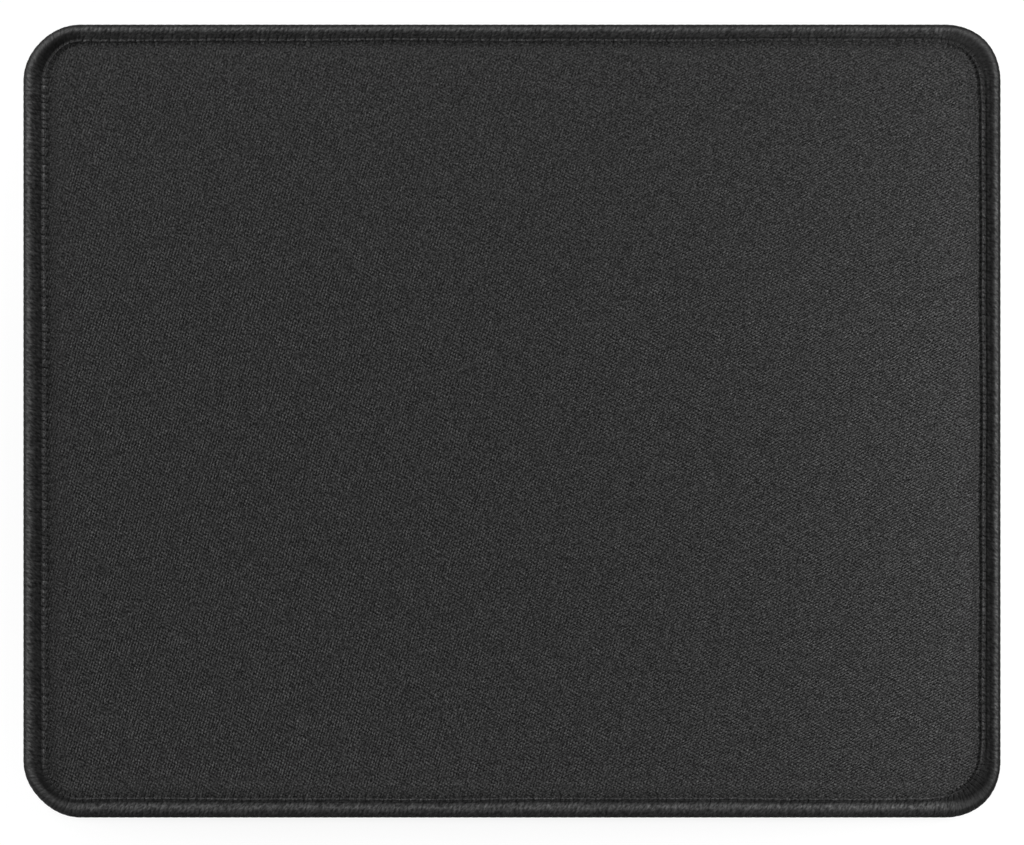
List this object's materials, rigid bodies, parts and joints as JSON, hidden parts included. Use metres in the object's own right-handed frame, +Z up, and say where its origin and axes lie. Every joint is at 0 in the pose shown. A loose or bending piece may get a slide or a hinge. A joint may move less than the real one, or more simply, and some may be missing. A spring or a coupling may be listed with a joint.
{
  "type": "mouse pad",
  "caption": "Flat rectangular desk mat with rounded corners: knitted cloth on a foamed rubber base, with an overlocked thread rim drawn in round the edge.",
  "frame": {"origin": "on the desk, under the middle of the pad", "axes": "+X along the long side to the user's right, +Y along the short side away from the user, +Z up out of the cloth"},
  "size_m": [0.26, 0.211, 0.0032],
  "materials": {
    "rubber": "matt black foamed rubber with a fine non-slip tread",
    "film": "thin cloudy hot-melt film",
    "cloth": "dark grey knitted polyester, matt, with a fine even texture",
    "thread": "dark grey bulked polyester overlock thread, slightly lustrous"
  },
  "bodies": {
    "root": {"rubber_base": "rubber", "bonding_film": "film", "top_cloth": "cloth", "upper_looper_thread": "thread", "lower_looper_thread": "thread", "needle_thread": "thread"}
  },
  "joints": []
}
